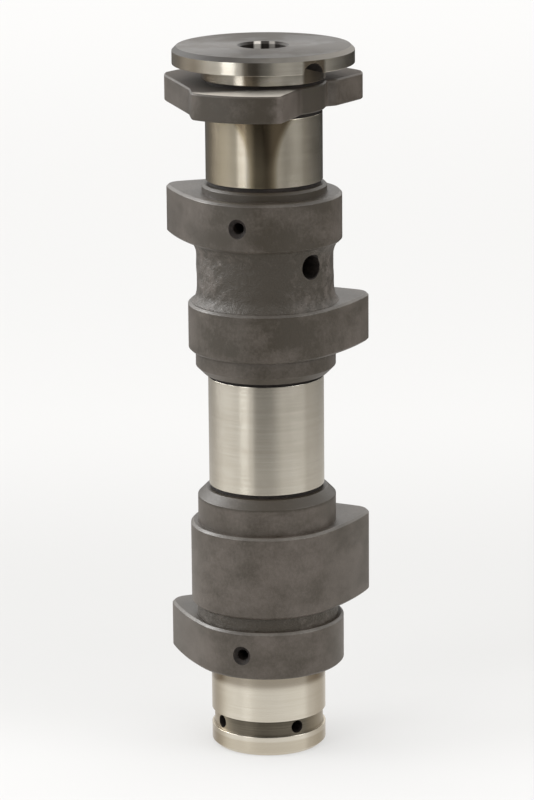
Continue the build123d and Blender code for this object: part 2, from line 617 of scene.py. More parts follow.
@dataclass(frozen=True)
class TurnedFace(Finish):
    """Flat or round face with the concentric marks of the turning tool under its coat.

    Attributes:
        marks: tool marks per millimetre of radius.
    """

    name: str = "turned_face"
    dark: Colour = (0.026, 0.022, 0.018, 1.0)
    light: Colour = (0.062, 0.054, 0.046, 1.0)
    roughness: float = 0.48
    marks: float = 4.0

    def inputs(self, graph: Graph) -> dict:
        """Rings that follow the distance from the axis, faint clouds, a painted dark reflection at the front
        and painted shade towards the right.

        Args:
            graph: node tree that takes the pattern's nodes.

        Returns:
            The Principled inputs by socket name.
        """
        x, y, z = graph.place()
        radius = (x * x + y * y) ** 0.5
        spread = graph.node("ShaderNodeCombineXYZ", None, {0: radius * self.marks, 1: z * self.marks})
        rings = graph.noise_at(spread.outputs[0], 3.0, 0.6)
        clouds = graph.noise((0.12, 0.12, 0.12), 3.0, 0.55).ramp(0.38, 0.62)
        # Painted dark reflection in a fan at the front, left of the middle; the last term of shade is painted
        # shade towards the right.
        sides = (x + 0.25 * y).ramp(-8.4, -7.2) * (1.0 - (x + 0.12 * y).ramp(-2.6, -1.2))
        fan = sides * (-y).ramp(6.0, 9.0)
        shade = (rings.ramp(0.3, 0.7) * 0.5 + clouds * 0.6 - 0.45 * fan - 0.3 * x.ramp(2.0, 16.0)).clamp()
        return {
            "Base Color": graph.mix(shade, self.dark, self.light),
            "Roughness": (self.roughness + (rings - 0.5) * 0.15 + (clouds - 0.4) * 0.16).clamp(),
            "IOR": 1.45,
            "Anisotropic": 0.6,
            "Anisotropic Rotation": 0.25,
            "Normal": graph.bump(rings, 0.006),
        }


@dataclass(frozen=True)
class RimCoat(Finish):
    """Dark coat on the disc's chamfer, lighter towards the right."""

    name: str = "disc_rim"
    dark: Colour = (0.014, 0.011, 0.008, 1.0)
    light: Colour = (0.12, 0.11, 0.095, 1.0)
    roughness: float = 0.55

    def inputs(self, graph: Graph) -> dict:
        """Colour that follows x with a cloudy border.

        Args:
            graph: node tree that takes the pattern's nodes.

        Returns:
            The Principled inputs by socket name.
        """
        clouds = graph.noise((0.2, 0.2, 0.2), 3.0, 0.6)
        share = (graph.place()[0] + (clouds - 0.5) * 12.0).ramp(-12.0, 16.0)
        return {"Base Color": graph.mix(share, self.dark, self.light), "Roughness": self.roughness}


@dataclass(frozen=True)
class BoreSteel(Finish):
    """Dark, oily wall of the threaded bore, painted near black as shade inside it, with two painted upright
    reflection streaks on its back.
    """

    name: str = "bore_wall"
    dark: Colour = (0.012, 0.009, 0.007, 1.0)
    light: Colour = (0.55, 0.52, 0.48, 1.0)
    roughness: float = 0.42

    def inputs(self, graph: Graph) -> dict:
        """Streaks across x, a bright one and a dull one, broken up a little.

        Args:
            graph: node tree that takes the pattern's nodes.

        Returns:
            The Principled inputs by socket name.
        """
        x, y, _ = graph.place()
        # Painted reflections: a bright and a dull upright streak on the back wall of the bore.
        painted_streaks = (x.band(-2.2, -1.7, -0.7, -0.3) + 0.4 * x.band(1.1, 1.5, 2.3, 2.7)) * y.ramp(0.0, 2.0)
        wear = graph.noise((0.5, 0.5, 0.1), 2.0, 0.5)
        return {
            "Base Color": graph.mix((painted_streaks + (wear - 0.5) * 0.2).clamp(), self.dark, self.light),
            "Metallic": 0.6,
            "Roughness": self.roughness,
        }


@dataclass(frozen=True)
class ThrustFace(Finish):
    """Upper face of the flange: painted shade under the disc, coated outside it, and worn on its front lug,
    painted bright there as a highlight.

    Attributes:
        bright: colour of the worn front, light enough to stand for a painted highlight.
        rubbed_highlight: distances in front of the axis at which the worn, highlighted part begins and is
            complete.
        open_edge: distances from the axis at which the painted shade under the disc fades and is gone.
    """

    name: str = "thrust_face"
    dark: Colour = (0.045, 0.037, 0.029, 1.0)
    light: Colour = (0.060, 0.050, 0.042, 1.0)
    roughness: float = 0.85
    bright: Colour = (0.58, 0.545, 0.49, 1.0)
    rubbed_highlight: tuple[float, float] = (12.2, 16.5)
    open_edge: tuple[float, float] = (LEVELS.disc_r - 5.5, LEVELS.disc_r - 1.5)

    def inputs(self, graph: Graph) -> dict:
        """A cloudy border parts the worn, highlighted front from the coat.

        Args:
            graph: node tree that takes the pattern's nodes.

        Returns:
            The Principled inputs by socket name.
        """
        x, y, _ = graph.place()
        clouds = graph.noise((0.25, 0.25, 0.25), 3.0, 0.6)
        # Painted highlight: the worn front of the lug gets a bright colour.
        forward = (clouds - 0.5) * 4.0 - y - 0.10 * abs(x) + 1.2 * x.ramp(-1.0, 3.0)
        rubbed_highlight = forward.ramp(*self.rubbed_highlight)
        # Painted shade: the face is darker under the disc than at its open edge.
        coat = graph.mix(((x * x + y * y) ** 0.5).ramp(*self.open_edge), self.dark, self.light)
        return {
            "Base Color": graph.mix(rubbed_highlight, coat, self.bright),
            "Metallic": rubbed_highlight * 0.35,
            "Roughness": (self.roughness - 0.45 * rubbed_highlight + (clouds - 0.5) * 0.1).clamp(),
            "IOR": 1.4,
        }


@dataclass(frozen=True)
class RecessShade(Finish):
    """Near-black inside of holes and reliefs: their dark coat and lubricant, painted darker still as the
    shade that falls in them.
    """

    name: str = "dark_recess"
    dark: Colour = (0.008, 0.006, 0.005, 1.0)
    light: Colour = (0.0176, 0.0132, 0.011, 1.0)
    roughness: float = 0.7

    def inputs(self, graph: Graph) -> dict:
        """An even dark tone with faint specks.

        Args:
            graph: node tree that takes the pattern's nodes.

        Returns:
            The Principled inputs by socket name.
        """
        specks = graph.noise((0.8, 0.8, 0.8), 3.0, 0.6)
        return {
            "Base Color": graph.mix(specks.ramp(0.35, 0.7), self.dark, self.light),
            "Roughness": (self.roughness + (specks - 0.5) * 0.2).clamp(),
            "IOR": 1.35,
            "Normal": graph.bump(specks, 0.01),
        }


FINISHES: dict[Coat, Finish] = {
    Coat.PHOSPHATE: Phosphate(),
    Coat.CAST: Phosphate(name="phosphate_cast", grain=0.06, skin=0.42, roughness=0.54),
    Coat.GROUND: GroundSteel(),
    Coat.TURNED: TurnedFace(),
    Coat.DARK: RecessShade(),
    Coat.WORN_AND_PAINTED_LIGHT: ThrustFace(),
    Coat.BORE: BoreSteel(),
    # Painted highlight: the lobes' top chamfers wear a lighter coat.
    Coat.EDGE: Phosphate(name="phosphate_edge", dark=(0.036, 0.030, 0.024, 1.0),
                         light=(0.082, 0.073, 0.063, 1.0), grain=0.006, roughness=0.38),
    Coat.GROOVE: GroundSteel(name="groove_floor", dark=(0.055, 0.047, 0.034, 1.0),
                             light=(0.12, 0.105, 0.08, 1.0), roughness=0.38, metal=0.75),
    Coat.RIM: RimCoat(),
}
MATERIALS: dict[Coat, bpy.types.Material] = {}


# Shapes as grids of points


SHARP_ANGLE = 34.0
EDGE_BAND = 0.62
SPLIT_GAP = 0.02
CLEARANCE = 3.0
GROUND_SOFT = 0.08
GROOVE_SOFT = 0.12
TURNED_SOFT = 0.15
BEVEL_SOFT = 0.25


def circle(radius: float, angles: np.ndarray) -> Plan:
    """Plan points of a circle: x is r sin(a) and y is -r cos(a), with a counted from the front."""
    a = np.radians(angles)
    return np.stack([radius * np.sin(a), -radius * np.cos(a)], axis=1)


def turn_steps(count: int) -> np.ndarray:
    """Evenly spaced angles once round the shaft, in degrees."""
    return np.arange(count) * 360.0 / count


def bend(start: np.ndarray, pole: np.ndarray, end: np.ndarray, steps: int) -> np.ndarray:
    """Points of a quadratic curve from start to end, whose pole is the corner that it rounds."""
    s = np.linspace(0.0, 1.0, steps + 1)[:, None]
    return (1 - s) ** 2 * start + 2 * s * (1 - s) * pole + s**2 * end


def softened(corners: Sequence[Sequence[float]], soft: float, steps: int, guard: float = 0.12) -> np.ndarray:
    """Round the corners of an open profile.

    Each corner becomes an arc that touches both of its sides, at most soft in radius and never
    longer than 0.45 of the shorter side. A guard point just past each end of the arc keeps the
    flat sides flat under smooth shading.

    Args:
        corners: profile points, two numbers each.
        soft: radius of the rounding.
        steps: faces in each arc.
        guard: distance from an arc's end to its guard point.

    Returns:
        The denser profile as an array of points.
    """
    points = np.asarray(corners, float)
    dense = [points[:1]]
    for before, corner, after in zip(points[:-2], points[1:-1], points[2:]):
        back, ahead = before - corner, after - corner
        length = min(np.linalg.norm(back), np.linalg.norm(ahead))
        back, ahead = back / np.linalg.norm(back), ahead / np.linalg.norm(ahead)
        half = 0.5 * math.acos(float(np.clip(back @ ahead, -1.0, 1.0)))
        reach = min(soft / math.tan(half), 0.45 * length)
        start, end = corner + back * reach, corner + ahead * reach
        lead = min(guard, 0.3 * (length - reach) + 1e-4)
        dense += [(start + back * lead)[None], bend(start, corner, end, steps), (end + ahead * lead)[None]]
    dense.append(points[-1:])
    return np.concatenate(dense)


def broken_wall(low: float, high: float, edge: float, soft: float, guard: float) -> np.ndarray:
    """Profile of an upright wall with chamfered edges, which are rounded a little.

    Args:
        low: height of its foot.
        high: height of its top.
        edge: size of both chamfers.
        soft: radius of the rounding.
        guard: distance to the rounding's guard points.

    Returns:
        Pairs of an inset from the full outline and a height, from bottom to top.
    """
    lower = [(edge + 1.0, low), (edge, low), (0.0, low + edge)]
    upper = [(0.0, high - edge), (edge, high), (edge + 1.0, high)]
    return softened(lower + upper, soft, 2, guard)[2:-2]


def first_above(profile: np.ndarray, height: float) -> int:
    """Index of a profile's first point above a height."""
    return int(np.argmax(profile[:, 1] > height))


def raised(plans: Sequence[Plan], heights: Sequence[float]) -> Rows:
    """Rows of points, one plan for each height."""
    return np.array([np.column_stack([plan, np.full(len(plan), z)]) for plan, z in zip(plans, heights)])


def ring_rows(profile: Sequence[Sequence[float]], angles: np.ndarray) -> Rows:
    """Rows of a turned surface: each profile point (r, z) becomes a circle of radius r at height z."""
    return raised([circle(r, angles) for r, _ in profile], [z for _, z in profile])


def blend_rows(first: Plan, second: Plan, z_first: float, z_second: float, steps: int) -> Rows:
    """Rows that lead in a straight line from one plan to another, ends included.

    Args:
        first: plan of the first row.
        second: plan of the last row.
        z_first: height of the first row.
        z_second: height of the last row.
        steps: bands between them.

    Returns:
        The rows.
    """
    shares = np.linspace(0.0, 1.0, steps + 1)
    heights = (1 - shares) * z_first + shares * z_second
    return raised([(1 - s) * first + s * second for s in shares], heights)


@dataclass
class Skin:
    """Rows of points that make up one closed surface, with a finish for the band after each row.

    Attributes:
        angles: angles of the points in a turned row.
        rows: the rows, in stretches.
        coats: the finish of each row's band, in the same stretches.
    """

    angles: np.ndarray
    rows: list[Rows] = field(default_factory=list)
    coats: list[np.ndarray] = field(default_factory=list)

    def add(self, rows: Rows, coat: Coat) -> None:
        """Append rows whose bands, up to the next row, wear this coat."""
        self.rows.append(rows)
        self.coats.append(np.full(len(rows), coat.value))

    def turn(self, profile: Sequence[Sequence[float]], coat: Coat) -> None:
        """Append a profile turned round the axis."""
        self.add(ring_rows(profile, self.angles), coat)

    def gallery(self, high: float, low: float) -> None:
        """Append the gallery's wall, from high down to low."""
        self.turn([(LEVELS.gallery_r, high), (LEVELS.gallery_r, low)], Coat.DARK)

    def add_lobe(self, foot_r: float, rows: Rows, head_r: float) -> None:
        """Append a lobe's wall with its flat faces.

        Args:
            foot_r: radius from which the lower face spreads.
            rows: the lobe's wall, from bottom to top.
            head_r: radius to which the upper face closes.
        """
        foot, head = circle(foot_r, self.angles), circle(head_r, self.angles)
        low, high = rows[0, 0, 2], rows[-1, 0, 2]
        top_edge = int(np.argmax(rows[:, 0, 2] > high - EDGE_BAND))
        self.add(blend_rows(foot, rows[0, :, :2], low, low, 3), Coat.PHOSPHATE)
        self.add(rows[:top_edge], Coat.PHOSPHATE)
        # The top chamfer takes the lighter edge coat, a painted highlight.
        self.add(rows[top_edge:-1], Coat.EDGE)
        self.add(blend_rows(rows[-1, :, :2], head, high, high, 3), Coat.PHOSPHATE)

    def build(self, name: str, sealed: bool) -> bpy.types.Object:
        """Make the mesh.

        A grid cell joins point j of row i to point j + 1 and to the same points of the next row.

        Args:
            name: name of the object.
            sealed: True where the first and last rows shrink to poles on the axis, False where the
                last row leads back to the first.

        Returns:
            The object, with its material slots filled.
        """
        grid, coats = np.concatenate(self.rows), np.concatenate(self.coats)
        moved = np.abs(np.roll(grid, -1, axis=0) - grid).max(axis=(1, 2)) > 1e-6
        moved[-1] |= sealed
        grid, coats = grid[moved], coats[moved]
        inner = grid[1:-1] if sealed else grid
        points = inner.reshape(-1, 3)
        around = grid.shape[1]
        bands = len(inner) - 1 if sealed else len(inner)
        column = np.arange(around)
        beside = np.roll(column, -1)
        low = np.arange(bands)[:, None] * around
        high = np.arange(1, bands + 1)[:, None] % len(inner) * around
        quads = np.stack([low + column, low + beside, high + beside, high + column], axis=2)
        faces = quads.reshape(-1, 4).tolist()
        slots = np.repeat(coats[1:-2] if sealed else coats, around)
        if sealed:
            last, pole = bands * around, len(points)
            points = np.concatenate([points, grid[:1, 0], grid[-1:, 0]])
            faces += np.stack([np.full(around, pole), beside, column], axis=1).tolist()
            faces += np.stack([last + column, last + beside, np.full(around, pole + 1)], axis=1).tolist()
            slots = np.concatenate([slots, np.full(around, coats[0]), np.full(around, coats[-2])])
        return self.object_from(name, points, faces, slots)

    @staticmethod
    def object_from(name: str, points: np.ndarray, faces: list, slots: np.ndarray) -> bpy.types.Object:
        """Put points in millimetres and faces into a new smooth mesh object.

        Args:
            name: name of the object.
            points: its points in millimetres.
            faces: point numbers of each face.
            slots: material slot of each face.

        Returns:
            The object, with every finish in its slots.
        """
        mesh = bpy.data.meshes.new(name)
        mesh.from_pydata((points * MM).tolist(), [], faces)
        for coat in Coat:
            mesh.materials.append(MATERIALS[coat])
        mesh.polygons.foreach_set("material_index", np.asarray(slots, np.int32))
        mesh.polygons.foreach_set("use_smooth", np.ones(len(faces), bool))
        mesh.update()
        made = bpy.data.objects.new(name, mesh)
        bpy.context.scene.collection.objects.link(made)
        return made


def dressed(piece: bpy.types.Object) -> bpy.types.Object:
    """Sharpen the piece's hard edges and tie it to the frame.

    Args:
        piece: object with its final mesh.

    Returns:
        The same object.
    """
    piece.data.set_sharp_from_angle(angle=math.radians(SHARP_ANGLE))
    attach(piece, BODY)
    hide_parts(NODE)
    LOG.info("%s: %d faces", piece.name, len(piece.data.polygons))
    return piece


def cut(piece: bpy.types.Object, tools: Sequence[bpy.types.Object]) -> None:
    """Subtract tools from a piece, one after another, and remove them.

    Args:
        piece: object whose mesh is replaced by the cut one.
        tools: closed cutters, whose finish the cut walls take.
    """
    for tool in tools:
        modifier = piece.modifiers.new("cut", "BOOLEAN")
        modifier.operation, modifier.solver, modifier.object = "DIFFERENCE", "EXACT", tool
    bpy.context.view_layer.update()
    graph = bpy.context.evaluated_depsgraph_get()
    mesh = bpy.data.meshes.new_from_object(piece.evaluated_get(graph), depsgraph=graph)
    mesh.name = piece.name
    piece.modifiers.clear()
    piece.data = mesh
    for tool in tools:
        bpy.data.objects.remove(tool)


def facing(angle: float) -> Vector:
    """Horizontal unit vector that points out of the shaft at this angle from the front."""
    return Vector((math.sin(math.radians(angle)), -math.cos(math.radians(angle)), 0.0))


@dataclass(frozen=True)
class Drill:
    """Radial drill with a countersink, which cuts a lubrication hole down to the gallery.

    Attributes:
        radius: radius of the hole.
        surface_r: distance from the axis to the surface that it enters.
        angle: direction of the hole, counted from the front.
        height: height of its axis.
        sink_r: radius of the countersink at the surface, 0 for a plain hole.
        around: points round the hole.
    """

    radius: float
    surface_r: float
    angle: float
    height: float
    sink_r: float = 0.0
    around: int = 48

    def tool(self) -> bpy.types.Object:
        """Build the cutter: a turned profile along the hole's axis, from inside the gallery outwards.

        Returns:
            The cutter, in its place.
        """
        near, far = 0.4 * LEVELS.gallery_r, self.surface_r + CLEARANCE
        sink = max(self.sink_r, self.radius)
        profile = [(0.0, near), (self.radius, near)]
        if self.sink_r:
            profile += [(self.radius, self.surface_r - (sink - self.radius)), (sink, self.surface_r)]
        profile += [(sink, far), (0.0, far)]
        skin = Skin(turn_steps(self.around))
        skin.turn(profile, Coat.DARK)
        made = skin.build("drill", sealed=True)
        aim = facing(self.angle).to_track_quat("Z", "Y").to_matrix().to_4x4()
        made.data.transform(Matrix.Translation((0, 0, self.height * MM)) @ aim)
        return made


@dataclass(frozen=True)
class Thread:
    """Bolt thread in the shaft's upper end.

    Attributes:
        pitch: its rise in one turn.
        depth: height of its crest.
        rows_per_pitch: rows of points in one pitch.
        gain: steepness of the crest's flanks.
        root: share of the crest that the root takes away.
        runout: share of a pitch in which it fades out at the top.
    """

    pitch: float = 1.25
    depth: float = 0.62
    rows_per_pitch: int = 8
    gain: float = 1.25
    root: float = 0.12
    runout: float = 0.6

    def wall(self, z_from: float, z_to: float, angles: np.ndarray) -> Rows:
        """Rows of the thread's wall.

        The radius is the nominal one less a rounded triangular crest whose phase climbs one pitch
        a turn, and it fades out towards the thread's ends.

        Args:
            z_from: height of the first row.
            z_to: height of the last row.
            angles: angles of the points in a row.

        Returns:
            The rows, from z_from to z_to.
        """
        bottom, top = AT["shaft_top"] - LEVELS.thread_l, AT["disc_bottom"]
        count = max(2, int(abs(z_to - z_from) / self.pitch * self.rows_per_pitch))
        z = np.linspace(z_from, z_to, count + 1)
        phase = z[:, None] / self.pitch - angles[None] / 360.0
        crest = 1.0 - np.abs(2.0 * (phase - np.floor(phase)) - 1.0)
        fade = np.clip((z - bottom) / self.pitch, 0.0, 1.0)
        fade *= np.clip((top - z) / (self.runout * self.pitch), 0.0, 1.0)
        rise = self.depth * fade[:, None] * np.clip(self.gain * crest - self.root, 0.0, 1.0)
        return raised([circle(1.0, angles) * r[:, None] for r in LEVELS.thread_r - rise], z)


# Sub-assemblies of the shaft


@dataclass(frozen=True)
class LobeShape:
    """Cam outline: a base circle and a nose circle joined by two convex flanks."""

    nose_angle: float
    nose_r: float = 4.0
    lift: float = 6.8
    flank_r: float = 60.0
    edge_soft: float = 0.12
    edge_guard: float = 0.1

    def outline(self, angles: np.ndarray, inset: float) -> Plan:
        """Plan points of the lobe at the given angles.

        Along a ray at angle a from the nose, the outline is the far crossing of the ray with a
        circle of centre c and radius R: c.u + sqrt(R^2 - (c x u)^2). The base, flank and nose
        circles take turns by angle, and an inset takes the same amount off every radius.

        Args:
            angles: angles of the points, counted from the front.
            inset: distance that the outline is moved inwards.

        Returns:
            The plan points.
        """
        reach = LEVELS.base_r + self.lift - self.nose_r
        from_base, from_nose = self.flank_r - LEVELS.base_r, self.flank_r - self.nose_r
        centre_x = (from_base**2 - from_nose**2 + reach**2) / (2 * reach)
        centre_y = -math.sqrt(from_base**2 - centre_x**2)
        out = np.array([reach - centre_x, -centre_y]) / from_nose
        nose_end = np.array([reach, 0.0]) + out * (self.nose_r - inset)
        nose_limit = math.atan2(nose_end[1], nose_end[0])
        base_limit = math.atan2(-centre_y, -centre_x)
        a = np.abs((np.radians(angles - self.nose_angle) + np.pi) % (2 * np.pi) - np.pi)
        u, v = np.cos(a), np.sin(a)

        def crossing(x: float, y: float, radius: float) -> np.ndarray:
            """Distance along each ray to its far crossing with the circle."""
            across = x * v - y * u
            return x * u + y * v + np.sqrt(np.maximum(radius**2 - across**2, 0.0))

        flank = crossing(centre_x, centre_y, self.flank_r - inset)
        nose = crossing(reach, 0.0, self.nose_r - inset)
        distance = np.where(a <= nose_limit, nose, np.where(a >= base_limit, LEVELS.base_r - inset, flank))
        return circle(1.0, angles) * distance[:, None]

    def rows(self, bottom: float, top: float, angles: np.ndarray) -> Rows:
        """Rows of the lobe's wall with its broken, slightly rounded edges, from bottom to top."""
        profile = broken_wall(bottom, top, LEVELS.lobe_edge, self.edge_soft, self.edge_guard)
        return raised([self.outline(angles, inset) for inset, _ in profile], profile[:, 1])


def uneven(rows: Rows, depth: float, mean_r: float = 15.0) -> Rows:
    """Give cast rows a slight unevenness.

    The radius loses a sum of four waves in angle and height, with whole turns round the shaft so
    that the seam stays closed.

    Args:
        rows: rows of points.
        depth: largest loss in millimetres.
        mean_r: radius at which the depth holds.

    Returns:
        The changed rows.
    """
    angle = np.arctan2(rows[:, :, 0], -rows[:, :, 1])
    z = rows[:, :, 2]
    waves = (
        np.sin(3 * angle + 0.31 * z) + np.sin(7 * angle - 0.57 * z + 1.3)
        + 0.7 * np.sin(13 * angle + 0.93 * z + 0.4) + 0.5 * np.sin(19 * angle - 1.7 * z + 2.2)
    ) / 3.2
    changed = rows.copy()
    changed[:, :, :2] *= (1.0 - depth * (0.5 + 0.5 * waves) / mean_r)[:, :, None]
    return changed


@dataclass
class LowerJournal:
    """Bottom journal with its lubrication groove and feed holes, from the plain end to the lowest lobe."""

    around: int = 288
    end_chamfer: float = 0.8
    seam_z: float = 2.5
    groove_z: float = 4.3
    groove_w: float = 3.5
    groove_depth: float = 0.6
    hole_r: float = 1.4
    hole_angles: tuple[float, float] = (-59.0, 31.0)

    def build(self) -> bpy.types.Object:
        """Build the journal as a turned body that is drilled up the middle.

        Returns:
            The piece, tied to the frame.
        """
        lv, r, floor_r = LEVELS, LEVELS.journal_r, LEVELS.journal_r - self.groove_depth
        groove, groove_top = self.groove_z, self.groove_z + self.groove_w
        top, joint = AT["lower_journal_top"], AT["lobe_4_bottom"]
        skin = Skin(turn_steps(self.around))
        foot = softened([(0.0, 0.0), (r - self.end_chamfer, 0.0), (r, self.end_chamfer), (r, self.seam_z)],
                        TURNED_SOFT, 3)
        skin.turn(foot[:3], Coat.TURNED)
        skin.turn(foot[3:-1], Coat.GROUND)
        band = softened([(r, self.seam_z), (r, groove), (floor_r, groove)], GROUND_SOFT, 3)
        skin.turn(band[1:-2], Coat.GROUND)
        floor = softened([(r, groove), (floor_r, groove), (floor_r, groove_top), (r, groove_top)],
                         GROOVE_SOFT, 3)
        skin.turn(floor[1:-1], Coat.GROOVE)
        wall = softened([(floor_r, groove_top), (r, groove_top), (r, top), (lv.relief_r, top),
                         (lv.relief_r, joint)], GROUND_SOFT, 3)
        split = first_above(wall, top - SPLIT_GAP)
        skin.turn(wall[2:split], Coat.GROUND)
        skin.turn(wall[split:], Coat.DARK)
        bore = [(lv.relief_r, joint), (lv.gallery_r, joint), (lv.gallery_r, lv.gallery_floor + lv.gallery_r),
                (0.0, lv.gallery_floor)]
        skin.turn(bore, Coat.DARK)
        piece = skin.build("lower_journal", sealed=True)
        middle = groove + self.groove_w / 2
        cut(piece, [Drill(self.hole_r, r, angle, middle).tool() for angle in self.hole_angles])
        return dressed(piece)


@dataclass
class Journal:
    """Plain journal between two dark reliefs, open down the middle.

    Attributes:
        name: name of the piece.
        levels: levels of its foot, its wall's foot, its wall's top and its top.
        around: points in a row.
    """

    name: str
    levels: tuple[str, str, str, str]
    around: int = 288

    def build(self) -> bpy.types.Object:
        """Build the journal as a turned sleeve round the gallery, and the thread where it reaches it.

        Returns:
            The piece, tied to the frame.
        """
        lv = LEVELS
        low, start, end, high = (AT[level] for level in self.levels)
        profile = softened([(lv.relief_r, low), (lv.relief_r, start), (lv.journal_r, start),
                            (lv.journal_r, end), (lv.relief_r, end), (lv.relief_r, high)], GROUND_SOFT, 3)
        first, last = first_above(profile, start + SPLIT_GAP), first_above(profile, end - SPLIT_GAP)
        skin = Skin(turn_steps(self.around))
        skin.turn(profile[:first], Coat.DARK)
        skin.turn(profile[first:last], Coat.GROUND)
        skin.turn(profile[last:], Coat.DARK)
        thread_foot = AT["shaft_top"] - lv.thread_l
        if high > thread_foot:
            skin.add(Thread().wall(high, thread_foot, skin.angles), Coat.BORE)
        skin.gallery(min(high, thread_foot), low)
        return dressed(skin.build(self.name, sealed=False))


@dataclass
class LowerLobes:
    """Bottom pair of lobes with the narrow gap between them and the collar above."""

    around: int = 432
    neck_r: float = 15.4
    collar_r: float = 15.0
    collar_edge: float = 1.8
    collar_inner_gap: float = 0.6

    def build(self) -> bpy.types.Object:
        """Build both lobes and the collar as one closed skin round the gallery.

        Returns:
            The piece, tied to the frame.
        """
        lv, turns = LEVELS, turn_steps(self.around)
        low, gap_low, gap_high = AT["lobe_4_bottom"], AT["lobe_4_top"], AT["lobe_3_bottom"]
        wide_top, top = AT["lobe_3_top"], AT["lower_collar_top"]
        neck = circle(self.neck_r, turns)
        skin = Skin(turns)
        skin.add_lobe(lv.gallery_r, LobeShape(lv.left_nose).rows(low, gap_low, turns), self.neck_r)
        skin.add(blend_rows(neck, neck, gap_low, gap_high, 2), Coat.CAST)
        skin.add_lobe(self.neck_r, LobeShape(lv.right_nose).rows(gap_high, wide_top, turns), self.collar_r)
        bevel = [(self.collar_r, wide_top), (self.collar_r, top - self.collar_edge),
                 (self.collar_r - self.collar_edge, top), (lv.relief_r - self.collar_inner_gap, top)]
        skin.turn(softened(bevel, BEVEL_SOFT, 4), Coat.PHOSPHATE)
        skin.gallery(top, low)
        piece = skin.build("lower_lobes", sealed=False)
        middle = (low + gap_low) / 2
        cut(piece, [Drill(lv.lobe_hole_r, lv.base_r, lv.lobe_hole_angle, middle, lv.lobe_sink_r).tool()])
        return dressed(piece)


@dataclass
class UpperLobes:
    """Upper pair of lobes, joined by a cast neck with flared shoulders, between two collars."""

    around: int = 432
    collar_r: float = 15.1
    collar_edge: float = 1.7
    neck_r: float = 14.8
    lower_shoulder_l: float = 4.2
    lower_shoulder_power: float = 3.2
    upper_shoulder_l: float = 3.4
    upper_shoulder_power: float = 2.4
    shoulder_r: float = 15.9
    small_collar_r: float = 13.4
    small_edge: float = 0.5
    neck_hole_r: float = 2.5
    neck_sink_r: float = 2.8
    neck_hole_angle: float = 42.0
    neck_hole_drop: float = 4.0
    cast_depth: float = 0.2
    neck_rows: int = 64

    def neck(self, turns: np.ndarray) -> Rows:
        """Rows of the cast neck, whose radius falls as a power of the height from each shoulder.

        Args:
            turns: angles of the points in a row.

        Returns:
            The rows, from the lower shoulder to the upper one.
        """
        low, high, flare = AT["lobe_2_top"], AT["lobe_1_bottom"], self.shoulder_r - self.neck_r
        z = low + (high - low) * np.linspace(0.0, 1.0, self.neck_rows) ** 1.3
        below = np.clip(1.0 - (z - low) / self.lower_shoulder_l, 0.0, 1.0) ** self.lower_shoulder_power
        above = np.clip(1.0 - (high - z) / self.upper_shoulder_l, 0.0, 1.0) ** self.upper_shoulder_power
        smooth = np.stack([self.neck_r + flare * (below + above), z], axis=1)
        return uneven(ring_rows(smooth, turns), self.cast_depth)

    def build(self) -> bpy.types.Object:
        """Build the lobes, neck and collars as one closed skin round the gallery.

        Returns:
            The piece, tied to the frame.
        """
        lv, turns = LEVELS, turn_steps(self.around)
        low, low_lobe, low_top = AT["upper_collar_bottom"], AT["lobe_2_bottom"], AT["lobe_2_top"]
        high_lobe, high_top, top = AT["lobe_1_bottom"], AT["lobe_1_top"], AT["small_collar_top"]
        skin = Skin(turns)
        bevel = [(lv.gallery_r, low), (self.collar_r - self.collar_edge, low),
                 (self.collar_r, low + self.collar_edge), (self.collar_r, low_lobe)]
        skin.turn(softened(bevel, BEVEL_SOFT, 4), Coat.PHOSPHATE)
        skin.add_lobe(self.collar_r, LobeShape(lv.right_nose).rows(low_lobe, low_top, turns), self.shoulder_r)
        skin.add(self.neck(turns), Coat.CAST)
        upper = LobeShape(lv.left_nose).rows(high_lobe, high_top, turns)
        skin.add_lobe(self.shoulder_r, upper, self.small_collar_r)
        cap = [(self.small_collar_r, high_top), (self.small_collar_r, top - self.small_edge),
               (self.small_collar_r - self.small_edge, top), (lv.gallery_r, top)]
        skin.turn(softened(cap, TURNED_SOFT, 3)[:-1], Coat.PHOSPHATE)
        skin.gallery(top, low)
        piece = skin.build("upper_lobes", sealed=False)
        lobe_hole = Drill(lv.lobe_hole_r, lv.base_r, lv.lobe_hole_angle, (high_lobe + high_top) / 2,
                          lv.lobe_sink_r)
        neck_hole = Drill(self.neck_hole_r, self.neck_r, self.neck_hole_angle,
                          high_lobe - self.neck_hole_drop, self.neck_sink_r)
        cut(piece, [lobe_hole.tool(), neck_hole.tool()])
        return dressed(piece)


